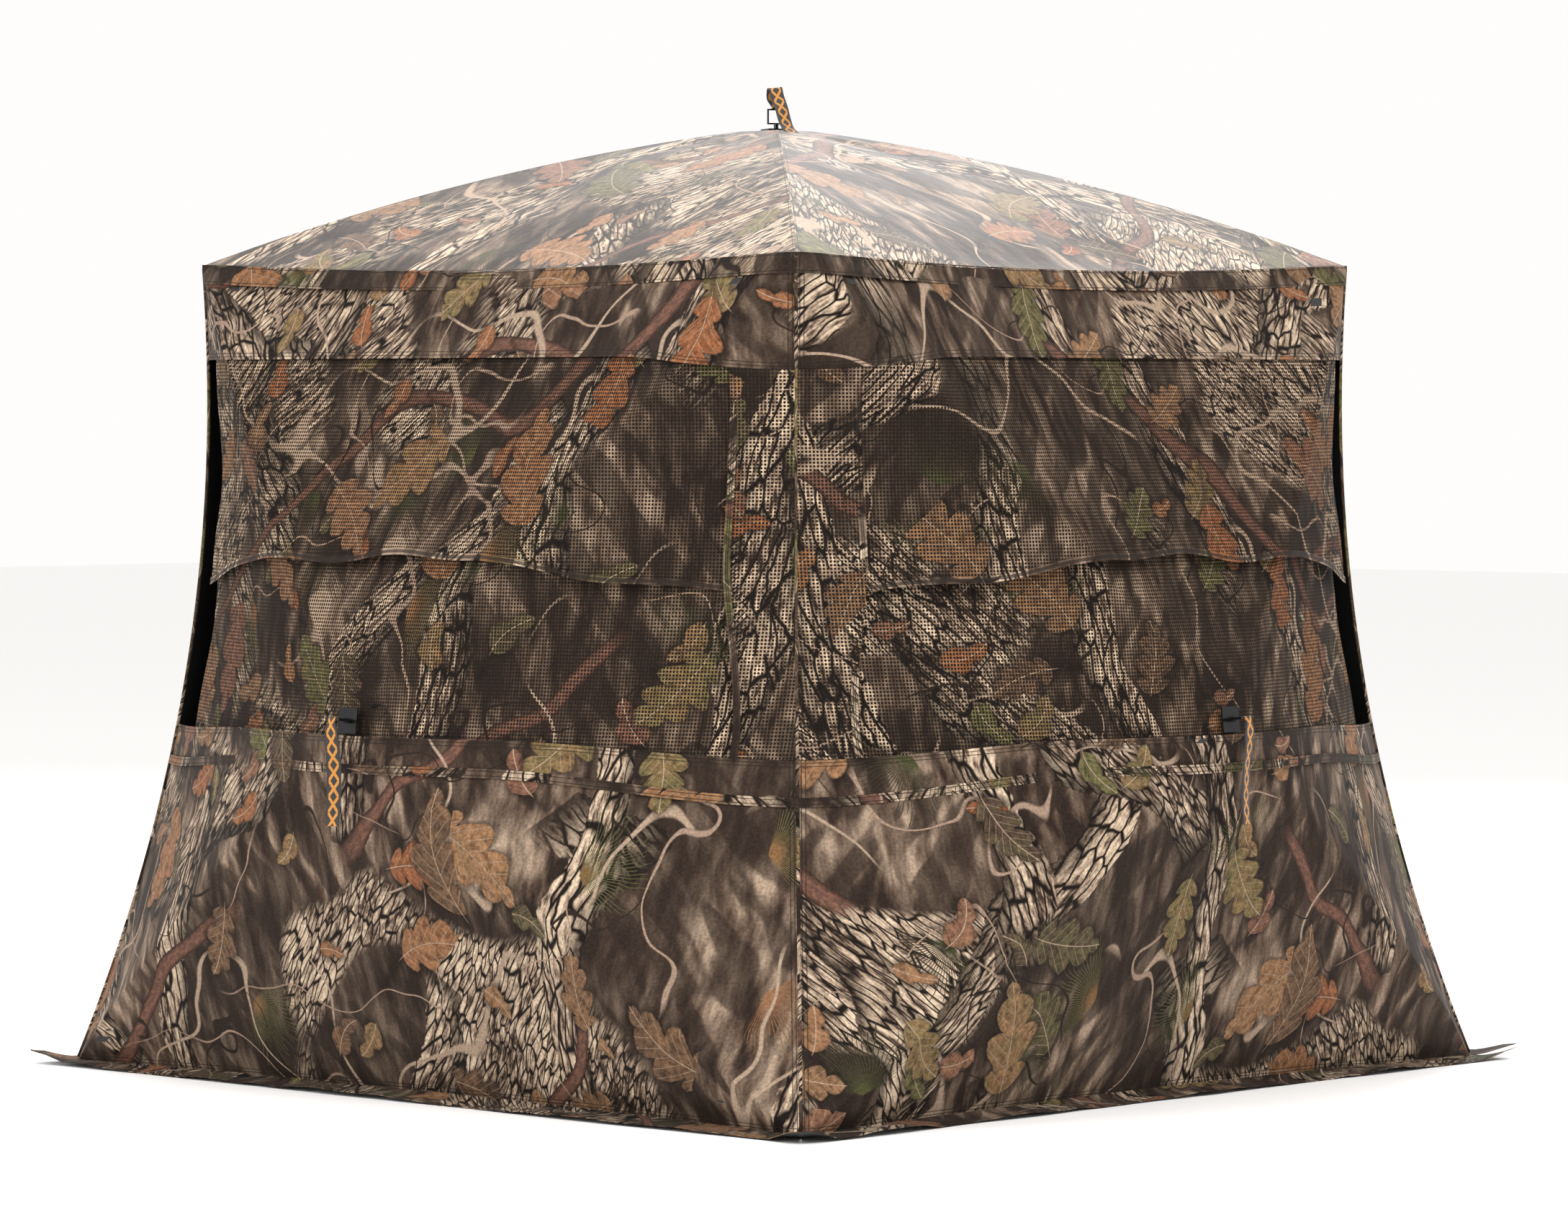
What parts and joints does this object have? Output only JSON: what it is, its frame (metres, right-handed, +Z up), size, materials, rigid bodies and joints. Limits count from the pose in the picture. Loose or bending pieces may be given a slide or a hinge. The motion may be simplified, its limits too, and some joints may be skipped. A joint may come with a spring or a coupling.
{
  "type": "pop up ground blind",
  "caption": "Square camouflage cloth shelter held out by hubs and poles, with mesh windows, a domed roof and a ground skirt.",
  "frame": {"origin": "on the ground at the middle of the footprint", "axes": "+Z up; the front window wall faces -Y and the right window wall faces +X; the door is in the back wall, which faces +Y"},
  "size_m": [2.26, 2.26, 1.792],
  "materials": {
    "camo_cloth": "printed woven polyester with a woodland camouflage print, black on the inside",
    "camo_mesh": "open knitted mesh with the same print",
    "black_plastic": "moulded black nylon",
    "black_rubber": "matt black rubber",
    "glass_fibre": "satin black pultruded rod",
    "blackened_steel": "glossy blackened steel",
    "strap_webbing": "black webbing with a woven orange pattern"
  },
  "bodies": {
    "cover": {"roof_canopy": "camo_cloth", "front_upper_band": "camo_cloth", "front_upper_mesh": "camo_mesh", "front_lower_mesh": "camo_mesh", "front_lower_wall": "camo_cloth", "right_upper_band": "camo_cloth", "right_upper_mesh": "camo_mesh", "right_lower_mesh": "camo_mesh", "right_lower_wall": "camo_cloth", "corner_mesh_post": "camo_mesh", "back_wall": "camo_cloth", "left_wall": "camo_cloth", "front_skirt": "camo_cloth", "right_skirt": "camo_cloth", "back_skirt": "camo_cloth", "left_skirt": "camo_cloth", "corner_boot_top_front_right": "black_rubber", "corner_boot_base_front_right": "black_rubber", "corner_boot_top_back_right": "black_rubber", "corner_boot_base_back_right": "black_rubber", "corner_boot_top_back_left": "black_rubber", "corner_boot_base_back_left": "black_rubber", "corner_boot_top_front_left": "black_rubber", "corner_boot_base_front_left": "black_rubber"},
    "front_hub": {"hub_front": "black_plastic", "hub_eye_front": "blackened_steel"},
    "front_pole_top_b": {"pole_front_top_b": "glass_fibre"},
    "front_pole_top_a": {"pole_front_top_a": "glass_fibre"},
    "front_pole_base_b": {"pole_front_base_b": "glass_fibre"},
    "front_pole_base_a": {"pole_front_base_a": "glass_fibre"},
    "front_strap": {"pull_strap_front": "strap_webbing"},
    "right_hub": {"hub_right": "black_plastic", "hub_eye_right": "blackened_steel"},
    "right_pole_top_b": {"pole_right_top_b": "glass_fibre"},
    "right_pole_top_a": {"pole_right_top_a": "glass_fibre"},
    "right_pole_base_b": {"pole_right_base_b": "glass_fibre"},
    "right_pole_base_a": {"pole_right_base_a": "glass_fibre"},
    "right_strap": {"pull_strap_right": "strap_webbing"},
    "back_hub": {"hub_back": "black_plastic", "hub_eye_back": "blackened_steel"},
    "back_pole_top_b": {"pole_back_top_b": "glass_fibre"},
    "back_pole_top_a": {"pole_back_top_a": "glass_fibre"},
    "back_pole_base_b": {"pole_back_base_b": "glass_fibre"},
    "back_pole_base_a": {"pole_back_base_a": "glass_fibre"},
    "back_strap": {"pull_strap_back": "strap_webbing"},
    "left_hub": {"hub_left": "black_plastic", "hub_eye_left": "blackened_steel"},
    "left_pole_top_b": {"pole_left_top_b": "glass_fibre"},
    "left_pole_top_a": {"pole_left_top_a": "glass_fibre"},
    "left_pole_base_b": {"pole_left_base_b": "glass_fibre"},
    "left_pole_base_a": {"pole_left_base_a": "glass_fibre"},
    "left_strap": {"pull_strap_left": "strap_webbing"},
    "roof_hub": {"hub_roof": "black_plastic", "hub_eye_roof": "blackened_steel"},
    "roof_pole_front_right": {"pole_roof_front_right": "glass_fibre"},
    "roof_pole_back_right": {"pole_roof_back_right": "glass_fibre"},
    "roof_pole_back_left": {"pole_roof_back_left": "glass_fibre"},
    "roof_pole_front_left": {"pole_roof_front_left": "glass_fibre"},
    "roof_strap": {"pull_strap_roof": "strap_webbing"},
    "door": {"door_panel": "camo_cloth"}
  },
  "joints": [
    {"name": "front_pop", "type": "slide", "parent": "cover", "child": "front_hub", "axis": [0, 0.9935, -0.1141], "range_m": [0, 0.464], "deforming": ["front_upper_band", "front_upper_mesh", "front_lower_mesh", "front_lower_wall", "corner_mesh_post", "corner_boot_base_front_right", "corner_boot_top_front_right"]},
    {"name": "front_pole_top_b_pin", "type": "hinge", "parent": "front_hub", "child": "front_pole_top_b", "pos_m": [0.01995, -1.05264, 0.69164], "axis": [0.7467, -0.0759, -0.6608], "range_deg": [0, 24.7]},
    {"name": "front_pole_top_a_pin", "type": "hinge", "parent": "front_hub", "child": "front_pole_top_a", "pos_m": [-0.01995, -1.05264, 0.69164], "axis": [0.7467, 0.0759, 0.6608], "range_deg": [0, 24.7]},
    {"name": "front_pole_base_b_pin", "type": "hinge", "parent": "front_hub", "child": "front_pole_base_b", "pos_m": [0.02461, -1.05715, 0.65233], "axis": [-0.5721, -0.0936, -0.8148], "range_deg": [0, 24.7]},
    {"name": "front_pole_base_a_pin", "type": "hinge", "parent": "front_hub", "child": "front_pole_base_a", "pos_m": [-0.02461, -1.05715, 0.65233], "axis": [-0.5721, 0.0936, 0.8148], "range_deg": [0, 24.7]},
    {"name": "front_strap_swing", "type": "hinge", "parent": "front_hub", "child": "front_strap", "pos_m": [0, -1.12474, 0.67737], "axis": [-1, 0, 0], "range_deg": [-20, 150]},
    {"name": "right_pop", "type": "slide", "parent": "cover", "child": "right_hub", "axis": [-0.9935, 0, -0.1141], "range_m": [0, 0.464], "deforming": ["right_upper_band", "right_upper_mesh", "right_lower_mesh", "right_lower_wall", "corner_boot_base_back_right", "corner_boot_top_back_right"]},
    {"name": "right_pole_top_b_pin", "type": "hinge", "parent": "right_hub", "child": "right_pole_top_b", "pos_m": [1.05264, 0.01995, 0.69164], "axis": [0.0759, 0.7467, -0.6608], "range_deg": [0, 24.7]},
    {"name": "right_pole_top_a_pin", "type": "hinge", "parent": "right_hub", "child": "right_pole_top_a", "pos_m": [1.05264, -0.01995, 0.69164], "axis": [-0.0759, 0.7467, 0.6608], "range_deg": [0, 24.7]},
    {"name": "right_pole_base_b_pin", "type": "hinge", "parent": "right_hub", "child": "right_pole_base_b", "pos_m": [1.05715, 0.02461, 0.65233], "axis": [0.0936, -0.5721, -0.8148], "range_deg": [0, 24.7]},
    {"name": "right_pole_base_a_pin", "type": "hinge", "parent": "right_hub", "child": "right_pole_base_a", "pos_m": [1.05715, -0.02461, 0.65233], "axis": [-0.0936, -0.5721, 0.8148], "range_deg": [0, 24.7]},
    {"name": "right_strap_swing", "type": "hinge", "parent": "right_hub", "child": "right_strap", "pos_m": [1.12474, 0, 0.67737], "axis": [0, -1, 0], "range_deg": [-20, 150]},
    {"name": "back_pop", "type": "slide", "parent": "cover", "child": "back_hub", "axis": [0, -0.9935, -0.1141], "range_m": [0, 0.464], "deforming": ["back_wall", "corner_boot_base_back_left", "corner_boot_top_back_left"]},
    {"name": "back_pole_top_b_pin", "type": "hinge", "parent": "back_hub", "child": "back_pole_top_b", "pos_m": [-0.01995, 1.05264, 0.69164], "axis": [-0.7467, 0.0759, -0.6608], "range_deg": [0, 24.7]},
    {"name": "back_pole_top_a_pin", "type": "hinge", "parent": "back_hub", "child": "back_pole_top_a", "pos_m": [0.01995, 1.05264, 0.69164], "axis": [-0.7467, -0.0759, 0.6608], "range_deg": [0, 24.7]},
    {"name": "back_pole_base_b_pin", "type": "hinge", "parent": "back_hub", "child": "back_pole_base_b", "pos_m": [-0.02461, 1.05715, 0.65233], "axis": [0.5721, 0.0936, -0.8148], "range_deg": [0, 24.7]},
    {"name": "back_pole_base_a_pin", "type": "hinge", "parent": "back_hub", "child": "back_pole_base_a", "pos_m": [0.02461, 1.05715, 0.65233], "axis": [0.5721, -0.0936, 0.8148], "range_deg": [0, 24.7]},
    {"name": "back_strap_swing", "type": "hinge", "parent": "back_hub", "child": "back_strap", "pos_m": [0, 1.12474, 0.67737], "axis": [1, 0, 0], "range_deg": [-20, 150]},
    {"name": "left_pop", "type": "slide", "parent": "cover", "child": "left_hub", "axis": [0.9935, 0, -0.1141], "range_m": [0, 0.464], "deforming": ["left_wall", "corner_boot_base_front_left", "corner_boot_top_front_left"]},
    {"name": "left_pole_top_b_pin", "type": "hinge", "parent": "left_hub", "child": "left_pole_top_b", "pos_m": [-1.05264, -0.01995, 0.69164], "axis": [-0.0759, -0.7467, -0.6608], "range_deg": [0, 24.7]},
    {"name": "left_pole_top_a_pin", "type": "hinge", "parent": "left_hub", "child": "left_pole_top_a", "pos_m": [-1.05264, 0.01995, 0.69164], "axis": [0.0759, -0.7467, 0.6608], "range_deg": [0, 24.7]},
    {"name": "left_pole_base_b_pin", "type": "hinge", "parent": "left_hub", "child": "left_pole_base_b", "pos_m": [-1.05715, -0.02461, 0.65233], "axis": [-0.0936, 0.5721, -0.8148], "range_deg": [0, 24.7]},
    {"name": "left_pole_base_a_pin", "type": "hinge", "parent": "left_hub", "child": "left_pole_base_a", "pos_m": [-1.05715, 0.02461, 0.65233], "axis": [0.0936, 0.5721, 0.8148], "range_deg": [0, 24.7]},
    {"name": "left_strap_swing", "type": "hinge", "parent": "left_hub", "child": "left_strap", "pos_m": [-1.12474, 0, 0.67737], "axis": [0, 1, 0], "range_deg": [-20, 150]},
    {"name": "roof_pop", "type": "slide", "parent": "cover", "child": "roof_hub", "axis": [0, 0, -1], "range_m": [0, 0.496], "deforming": ["roof_canopy"]},
    {"name": "roof_pole_front_right_pin", "type": "hinge", "parent": "roof_hub", "child": "roof_pole_front_right", "pos_m": [0.02121, -0.02121, 1.7], "axis": [-0.7071, -0.7071, 0], "range_deg": [0, 28]},
    {"name": "roof_pole_back_right_pin", "type": "hinge", "parent": "roof_hub", "child": "roof_pole_back_right", "pos_m": [0.02121, 0.02121, 1.7], "axis": [0.7071, -0.7071, 0], "range_deg": [0, 28]},
    {"name": "roof_pole_back_left_pin", "type": "hinge", "parent": "roof_hub", "child": "roof_pole_back_left", "pos_m": [-0.02121, 0.02121, 1.7], "axis": [0.7071, 0.7071, 0], "range_deg": [0, 28]},
    {"name": "roof_pole_front_left_pin", "type": "hinge", "parent": "roof_hub", "child": "roof_pole_front_left", "pos_m": [-0.02121, -0.02121, 1.7], "axis": [-0.7071, 0.7071, 0], "range_deg": [0, 28]},
    {"name": "roof_strap_swing", "type": "hinge", "parent": "roof_hub", "child": "roof_strap", "pos_m": [0, 0, 1.77], "axis": [-0.454, -0.891, 0], "range_deg": [0, 150]},
    {"name": "door_swing", "type": "hinge", "parent": "cover", "child": "door", "pos_m": [-0.724, 0.9606, 0.1904], "axis": [0.1134, -0.1131, 0.9871], "range_deg": [0, 110]}
  ],
  "couplings": [
    {"joint": "front_pole_top_b_pin", "follows": "front_pop", "rad_per_m": 0.927},
    {"joint": "front_pole_top_a_pin", "follows": "front_pop", "rad_per_m": 0.927},
    {"joint": "front_pole_base_b_pin", "follows": "front_pop", "rad_per_m": 0.927},
    {"joint": "front_pole_base_a_pin", "follows": "front_pop", "rad_per_m": 0.927},
    {"joint": "right_pole_top_b_pin", "follows": "right_pop", "rad_per_m": 0.927},
    {"joint": "right_pole_top_a_pin", "follows": "right_pop", "rad_per_m": 0.927},
    {"joint": "right_pole_base_b_pin", "follows": "right_pop", "rad_per_m": 0.927},
    {"joint": "right_pole_base_a_pin", "follows": "right_pop", "rad_per_m": 0.927},
    {"joint": "back_pole_top_b_pin", "follows": "back_pop", "rad_per_m": 0.927},
    {"joint": "back_pole_top_a_pin", "follows": "back_pop", "rad_per_m": 0.927},
    {"joint": "back_pole_base_b_pin", "follows": "back_pop", "rad_per_m": 0.927},
    {"joint": "back_pole_base_a_pin", "follows": "back_pop", "rad_per_m": 0.927},
    {"joint": "left_pole_top_b_pin", "follows": "left_pop", "rad_per_m": 0.927},
    {"joint": "left_pole_top_a_pin", "follows": "left_pop", "rad_per_m": 0.927},
    {"joint": "left_pole_base_b_pin", "follows": "left_pop", "rad_per_m": 0.927},
    {"joint": "left_pole_base_a_pin", "follows": "left_pop", "rad_per_m": 0.927},
    {"joint": "roof_pole_front_right_pin", "follows": "roof_pop", "rad_per_m": 0.9832},
    {"joint": "roof_pole_back_right_pin", "follows": "roof_pop", "rad_per_m": 0.9832},
    {"joint": "roof_pole_back_left_pin", "follows": "roof_pop", "rad_per_m": 0.9832},
    {"joint": "roof_pole_front_left_pin", "follows": "roof_pop", "rad_per_m": 0.9832}
  ]
}
